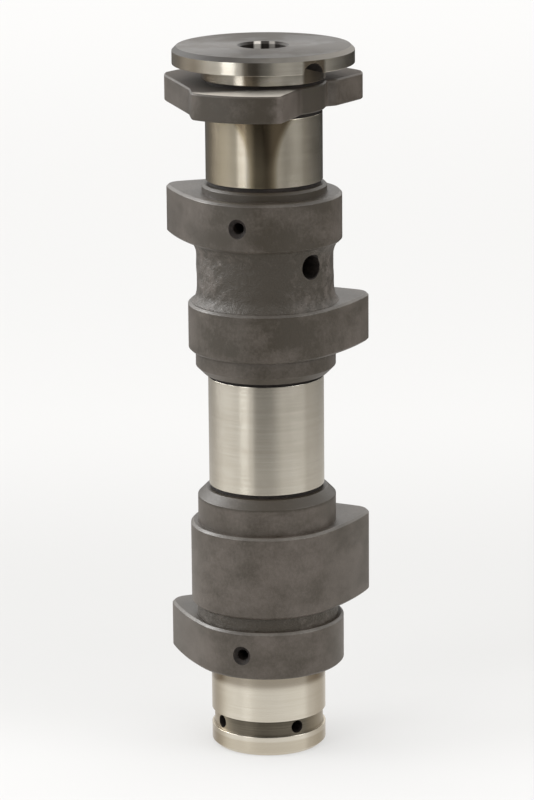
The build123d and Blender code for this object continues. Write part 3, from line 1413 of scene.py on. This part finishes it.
@dataclass
class Flange:
    """Flange plate with its front lug, side facets, front recess and wide back, and the hub on it."""

    front_lug_r: float = 21.8
    front_lug_left_x: float = -15.1
    front_lug_right_x: float = 3.7
    left_corner: tuple[float, float] = (-15.7, -9.4)
    left_facet_top_y: float = 9.4
    right_corner: tuple[float, float] = (15.6, 0.8)
    right_facet_top_y: float = 9.5
    recess_start: float = 37.0
    recess_end: float = 89.0
    back_r: float = 24.8
    flat_depth: float = 3.5
    corner_r: float = 0.7
    edge: float = 0.3
    edge_soft: float = 0.1
    edge_guard: float = 0.15
    face_r: float = 18.2
    face_share: float = 0.97
    side_points: int = 40
    lug_points: int = 60
    back_points: int = 120

    @staticmethod
    def beside(x: float, radius: float, side: int) -> np.ndarray:
        """Plan point of a circle at this x, on the back (side 1) or the front (side -1)."""
        return np.array([x, side * math.sqrt(radius**2 - x**2)])

    @staticmethod
    def arc(start: np.ndarray, end: np.ndarray, radius: float, count: int) -> Plan:
        """Points on a circle round the axis from start to end, anticlockwise from above.

        Args:
            start: point in whose direction the arc begins.
            end: point in whose direction it ends.
            radius: its radius.
            count: number of points.

        Returns:
            The points.
        """
        a, b = math.atan2(start[0], -start[1]), math.atan2(end[0], -end[1])
        b += 2 * math.pi if b < a else 0.0
        return circle(radius, np.degrees(np.linspace(a, b, count)))

    def outline(self) -> Plan:
        """Plan of the plate with rounded corners, anticlockwise from the back's left end.

        Returns:
            The closed plan's points.
        """
        half_w = self.back_r - self.flat_depth
        back_left = self.beside(-half_w, self.back_r, 1)
        back_right = self.beside(half_w, self.back_r, 1)
        lug_left = self.beside(self.front_lug_left_x, self.front_lug_r, -1)
        lug_right = self.beside(self.front_lug_right_x, self.front_lug_r, -1)
        recess = circle(LEVELS.hub_r, np.linspace(self.recess_start, self.recess_end, self.side_points))
        keys = [back_left, (-half_w, self.left_facet_top_y), self.left_corner, lug_left, lug_right,
                recess[0], recess[-1], self.right_corner, (half_w, self.right_facet_top_y), back_right]
        arcs = {3: self.arc(lug_left, lug_right, self.front_lug_r, self.lug_points), 5: recess,
                9: self.arc(back_right, back_left, self.back_r, self.back_points)}
        keys = np.array(keys)
        share = np.linspace(0, 1, self.side_points)[:, None]
        sides = enumerate(zip(keys, np.roll(keys, -1, axis=0)))
        runs = [arcs.get(i, key + share * (after - key)) for i, (key, after) in sides]
        return self.joined([self.trimmed(run) for run in runs])

    def trimmed(self, run: Plan) -> Plan:
        """Drop the stretch next to each end of a run, where the corner's rounding goes.

        Args:
            run: points of one side of the plate.

        Returns:
            As many points, evenly spaced over what is left.
        """
        length = np.concatenate([[0.0], np.cumsum(np.linalg.norm(np.diff(run, axis=0), axis=1))])
        trim = min(self.corner_r, 0.45 * length[-1])
        s = np.linspace(trim, length[-1] - trim, len(run))
        return np.stack([np.interp(s, length, run[:, 0]), np.interp(s, length, run[:, 1])], axis=1)

    @staticmethod
    def joined(runs: list[Plan]) -> Plan:
        """Join trimmed runs with quadratic curves whose pole is where the end tangents cross.

        Args:
            runs: the trimmed sides in order.

        Returns:
            The closed plan's points.
        """
        whole = []
        for run, after in zip(runs, runs[1:] + runs[:1]):
            p, q = run[-1], after[0]
            t, u = run[-1] - run[-2], after[0] - after[1]
            pole = p + t * np.linalg.solve(np.column_stack([t, -u]), q - p)[0]
            whole += [run, bend(p, pole, q, 5)[1:-1]]
        return np.concatenate(whole)

    @staticmethod
    def inset(plan: Plan, distance: float) -> Plan:
        """Move each point of a closed plan inwards along its own normal.

        Args:
            plan: points of the closed plan.
            distance: how far they move.

        Returns:
            The moved points.
        """
        tangent = np.roll(plan, -1, axis=0) - np.roll(plan, 1, axis=0)
        tangent /= np.linalg.norm(tangent, axis=1)[:, None]
        return plan + distance * np.stack([-tangent[:, 1], tangent[:, 0]], axis=1)

    def build(self) -> bpy.types.Object:
        """Build the plate and the hub as one closed skin round the threaded bore.

        Returns:
            The piece, tied to the frame.
        """
        lv = LEVELS
        low, high, top = AT["flange_bottom"], AT["flange_top"], AT["disc_bottom"]
        rim = broken_wall(low, high, self.edge, self.edge_soft, self.edge_guard)
        whole = self.outline()
        plans = [self.inset(whole, distance) for distance, _ in rim]
        foot, face = plans[0], plans[-1]
        angles = np.degrees(np.arctan2(foot[:, 0], -foot[:, 1]))
        skin = Skin(angles)
        skin.add(blend_rows(circle(lv.thread_r, angles), foot, low, low, 4), Coat.PHOSPHATE)
        skin.add(raised(plans, rim[:, 1]), Coat.PHOSPHATE)
        face_r = np.linalg.norm(face, axis=1)[:, None]
        inner = face * np.minimum(self.face_r, self.face_share * face_r) / face_r
        skin.add(blend_rows(face, inner, high, high, 3), Coat.WORN_AND_PAINTED_LIGHT)
        skin.add(blend_rows(inner, circle(lv.relief_r, angles), high, high, 4), Coat.WORN_AND_PAINTED_LIGHT)
        hub_z = high + lv.relief_w
        hub = softened([(lv.relief_r, high), (lv.relief_r, hub_z), (lv.hub_r, hub_z), (lv.hub_r, top),
                        (lv.thread_r, top)], GROUND_SOFT, 3)
        skin.turn(hub[:6], Coat.DARK)
        skin.turn(hub[6:], Coat.GROUND)
        skin.add(Thread().wall(top, low, angles), Coat.BORE)
        return dressed(skin.build("flange", sealed=False))


@dataclass
class EndDisc:
    """Pilot disc at the top, with its chamfer, timing notch and the mouth of the bolt thread."""

    around: int = 384
    chamfer: float = 0.9
    chamfer_gap: float = 0.06
    seam: float = 1.5
    mouth: float = 0.5
    under_soft: float = 0.1
    notch_w: float = 4.8
    notch_angle: float = 32.5
    notch_top_gap: float = 1.5
    notch_drop: float = 2.0
    arch_points: int = 24

    def notch(self) -> bpy.types.Object:
        """Cutter for the notch: an upright arch carried outwards along the notch's direction.

        Returns:
            The cutter, in its place.
        """
        half = self.notch_w / 2
        crown, low = AT["shaft_top"] - self.notch_top_gap - half, AT["disc_bottom"] - self.notch_drop
        turn = np.radians(np.linspace(0.0, 180.0, self.arch_points))
        arch = np.concatenate([
            np.stack([half * np.cos(turn), crown + half * np.sin(turn)], axis=1),
            [(-half, low), (half, low)],
        ])
        out, side = np.array(facing(self.notch_angle)), np.array(facing(self.notch_angle + 90))
        upright = arch[:, :1] * side + arch[:, 1:] * np.array((0.0, 0.0, 1.0))
        ends = [out * distance + upright for distance in (LEVELS.hub_r, LEVELS.disc_r + CLEARANCE)]
        count = len(arch)
        column = np.arange(count)
        beside = np.roll(column, -1)
        walls = np.stack([column, beside, beside + count, column + count], axis=1).tolist()
        faces = walls + [list(range(count))[::-1], list(range(count, 2 * count))]
        slots = np.full(len(faces), Coat.DARK.value)
        return Skin.object_from("notch", np.concatenate(ends), faces, slots)

    def build(self) -> bpy.types.Object:
        """Build the disc as a turned ring and cut its notch.

        Returns:
            The piece, tied to the frame.
        """
        r, bore_r, mouth_r = LEVELS.disc_r, LEVELS.thread_r, LEVELS.thread_r + self.mouth
        low, top = AT["disc_bottom"], AT["shaft_top"]
        under = softened([(bore_r, low), (r, low), (r, low + self.seam)], self.under_soft, 3)
        wall = softened([(r, low + self.seam), (r, top - self.chamfer), (r - self.chamfer, top),
                         (mouth_r, top), (bore_r, top - self.mouth)], GROUND_SOFT, 3)
        edge = first_above(wall, top - self.chamfer - self.chamfer_gap)
        face = first_above(wall, top - SPLIT_GAP)
        mouth = int(np.argmax(wall[:, 0] < mouth_r + SPLIT_GAP))
        skin = Skin(turn_steps(self.around))
        skin.turn(under[:2], Coat.TURNED)
        skin.turn(under[2:-1], Coat.GROUND)
        skin.turn(wall[:edge], Coat.GROUND)
        skin.turn(wall[edge:face], Coat.RIM)
        skin.turn(wall[face:mouth], Coat.TURNED)
        skin.turn(wall[mouth:], Coat.BORE)
        skin.add(Thread().wall(top - self.mouth, low, skin.angles), Coat.BORE)
        piece = skin.build("end_disc", sealed=False)
        cut(piece, [self.notch()])
        return dressed(piece)


# Studio


LAMP_AIM = (0.0, 0.0, 80.0)


@dataclass(frozen=True)
class Lamp:
    """Rectangular area lamp that faces the middle of the shaft.

    Attributes:
        name: name of the lamp.
        place: its centre in millimetres.
        size: its width and height in millimetres.
        power: its power in watts.
        diffuse: False where matt light leaves it out.
        glossy: False where reflections leave it out.
    """

    name: str
    place: tuple[float, float, float]
    size: tuple[float, float]
    power: float
    diffuse: bool = True
    glossy: bool = True

    def hang(self) -> None:
        """Make the lamp and aim it."""
        data = bpy.data.lights.new(self.name, "AREA")
        data.shape, data.energy = "RECTANGLE", self.power
        data.size, data.size_y = (side * MM for side in self.size)
        made = bpy.data.objects.new(self.name, data)
        made.location = Vector(self.place) * MM
        made.rotation_euler = (Vector(LAMP_AIM) - Vector(self.place)).to_track_quat("-Z", "Y").to_euler()
        made.visible_diffuse, made.visible_glossy = self.diffuse, self.glossy
        bpy.context.scene.collection.objects.link(made)


LAMPS = (
    Lamp("lamp_top", (-150.0, -150.0, 1100.0), (1100.0, 1100.0), 1.9),
    Lamp("lamp_key", (-620.0, -640.0, 420.0), (300.0, 800.0), 2.3),
    Lamp("lamp_rim", (-880.0, 380.0, 520.0), (400.0, 600.0), 9.0, diffuse=False),
    Lamp("lamp_left", (-900.0, -80.0, 560.0), (500.0, 500.0), 4.5),
    Lamp("lamp_fill", (430.0, -810.0, 380.0), (700.0, 500.0), 2.6, glossy=False),
    Lamp("lamp_right", (850.0, -350.0, 620.0), (500.0, 500.0), 3.6),
)


def plate(name: str, corners: Sequence[Sequence[float]], material: bpy.types.Material) -> bpy.types.Object:
    """Make a flat plate with these corners in millimetres.

    Args:
        name: name of the plate.
        corners: its corners in order.
        material: what it is made of.

    Returns:
        The plate's object.
    """
    mesh = bpy.data.meshes.new(name)
    mesh.from_pydata([tuple(c * MM for c in corner) for corner in corners], [], [tuple(range(len(corners)))])
    mesh.materials.append(material)
    made = bpy.data.objects.new(name, mesh)
    bpy.context.scene.collection.objects.link(made)
    return made


@dataclass(frozen=True)
class Studio:
    """Pale floor, soft light and the camera at the photograph's angle.

    The backdrop fields are tones of the floor in the picture, at its foot and far behind. The
    mirror, shine and lane fields are its tones in reflections: near the shaft, to the left, behind
    it, and in a bright and a dark lane in front. Flag corners are pairs across and up.
    """

    camera_distance: float = 800.0
    camera_pitch: float = 14.0
    camera_roll: float = 0.5
    target: tuple[float, float, float] = (0.17, 0.0, 77.0)
    lens: float = 166.5
    floor_size: float = 9000.0
    backdrop: float = 0.66
    backdrop_dip: float = 0.13
    backdrop_rise: float = 0.17
    glow_share: float = 0.72
    mirror: float = 0.17
    mirror_near: float = 0.72
    mirror_left: float = 0.38
    mirror_behind: float = 0.12
    shine: float = 0.2
    lane: float = 0.88
    sky_seen: float = 0.95
    flag_y: float = -450.0
    flag_corners: tuple[tuple[float, float], ...] = (
        (-215.0, 2.0), (150.0, 2.0), (0.0, 100.0), (-10.0, 900.0), (-165.0, 900.0), (-165.0, 40.0),
        (-215.0, 30.0))

    def camera(self) -> None:
        """Set the camera up in front of the shaft, looking down on it."""
        data = bpy.data.cameras.new("camera")
        data.lens, data.sensor_width = self.lens, 36.0
        data.clip_start, data.clip_end = 0.01, 20.0
        made = bpy.data.objects.new("camera", data)
        pitch = math.radians(self.camera_pitch)
        away = Vector((0.0, -math.cos(pitch), math.sin(pitch)))
        made.location = (Vector(self.target) + away * self.camera_distance) * MM
        aim = (-away).to_track_quat("-Z", "Y").to_matrix().to_4x4()
        made.rotation_euler = (aim @ Matrix.Rotation(math.radians(-self.camera_roll), 4, "Z")).to_euler()
        bpy.context.scene.collection.objects.link(made)
        bpy.context.scene.camera = made

    def mirrored_tone(self, x: Value, y: Value) -> Value:
        """Tone of the floor in reflections, which falls away from the shaft and in a lane in front.

        Args:
            x: distance to the right in millimetres.
            y: distance behind the shaft in millimetres.

        Returns:
            The strength of the floor's glow in reflections.
        """
        reach = (x * x + y * y) ** 0.5
        slant = x / (-y).math("MAXIMUM", 1.0)
        ahead = (-y).ramp(0.0, 10.0)
        tone = self.mirror + self.mirror_near * (1.0 - reach.ramp(0.0, 700.0))
        tone = tone + self.mirror_left * (-x / 1000.0).clamp() - self.mirror_behind * y.ramp(0.0, 300.0)
        bright = slant.band(0.10, 0.28, 0.5, 0.95) * reach.ramp(430.0, 620.0) * ahead
        border = slant + (reach - 450.0) * 0.0015
        dark = slant.ramp(-0.55, -0.38) * (1.0 - border.ramp(0.08, 0.36)) * reach.ramp(130.0, 380.0) * ahead
        return (tone + self.shine * bright) * (1.0 - self.lane * dark)

    def floor(self) -> None:
        """Lay the pale floor, which fills the picture behind the shaft."""
        half = self.floor_size / 2
        material, graph = new_material("floor_pale")
        seen, mirrored = graph.rays()
        x, y, _ = graph.place()
        backdrop = self.backdrop - self.backdrop_dip * y.band(-25.0, 70.0, 110.0, 300.0)
        backdrop = backdrop + self.backdrop_rise * y.ramp(350.0, 1300.0)
        matt = graph.node("ShaderNodeBsdfDiffuse", None, {"Color": (0.9, 0.9, 0.895, 1.0)}).outputs[0]
        glow = graph.glow((1.0, 0.995, 0.99, 1.0), backdrop)
        sheen = graph.glow((1.0, 0.97, 0.92, 1.0), self.mirrored_tone(x, y))
        both = graph.blend(mirrored, graph.blend(seen * self.glow_share, matt, glow), sheen)
        graph.node("ShaderNodeOutputMaterial", None, {"Surface": both})
        corners = [(-half, -half, 0.0), (half, -half, 0.0), (half, half, 0.0), (-half, half, 0.0)]
        made = plate("floor", corners, material)

    def world(self) -> None:
        """Surround the shaft with soft light: white overhead and behind, dim in front, brighter left."""
        world = bpy.data.worlds.new("studio")
        world.use_nodes = True
        graph = Graph(world.node_tree)
        x, y, z = graph.axes(graph.node("ShaderNodeTexCoord").outputs["Generated"])
        left, right, behind = (-x).clamp(), x.clamp(), y.clamp()
        side = left * 0.45 + right * 0.30
        glow = 0.17 + 0.8 * side + (1.40 * behind + 1.0 * side) * z.ramp(0.02, 0.24) + 0.26 * z.ramp(0.3, 0.9)
        fill = 0.22 + 0.95 * left + 0.55 * right
        seen, mirrored = graph.rays()
        strength = seen * self.sky_seen + (1.0 - seen) * (glow + fill * (1.0 - mirrored))
        inputs = {"Color": (1.0, 0.99, 0.97, 1.0), "Strength": strength}
        sky = graph.node("ShaderNodeBackground", None, inputs)
        graph.node("ShaderNodeOutputWorld", None, {"Surface": sky.outputs[0]})
        bpy.context.scene.world = world

    def flag(self) -> None:
        """Stand the dark flag in front, which only reflections show."""
        material, graph = new_material("flag_dark")
        graph.principled({"Base Color": (0.02, 0.018, 0.016, 1.0), "Roughness": 1.0})
        made = plate("flag", [(x, self.flag_y, z) for x, z in self.flag_corners], material)
        made.visible_camera = made.visible_diffuse = made.visible_shadow = made.visible_transmission = False

    def build(self) -> None:
        """Set up floor, light, flag and camera, and the plain view transform."""
        self.camera()
        self.floor()
        self.world()
        self.flag()
        for lamp in LAMPS:
            lamp.hang()
        bpy.context.scene.view_settings.view_transform = "Standard"


def main() -> None:
    """Build the finishes, the shaft's stretches in order, and the studio."""
    logging.basicConfig(level=logging.INFO, format="%(name)s %(message)s")
    MATERIALS.update({coat: finish.material() for coat, finish in FINISHES.items()})
    middle = ("lower_collar_top", "middle_journal_bottom", "middle_journal_top", "upper_collar_bottom")
    upper = ("small_collar_top", "upper_journal_bottom", "upper_journal_top", "flange_bottom")
    LowerJournal().build()
    LowerLobes().build()
    Journal("middle_journal", middle).build()
    UpperLobes().build()
    Journal("upper_journal", upper).build()
    Flange().build()
    EndDisc().build()
    Studio().build()


if __name__ == "__main__":
    main()
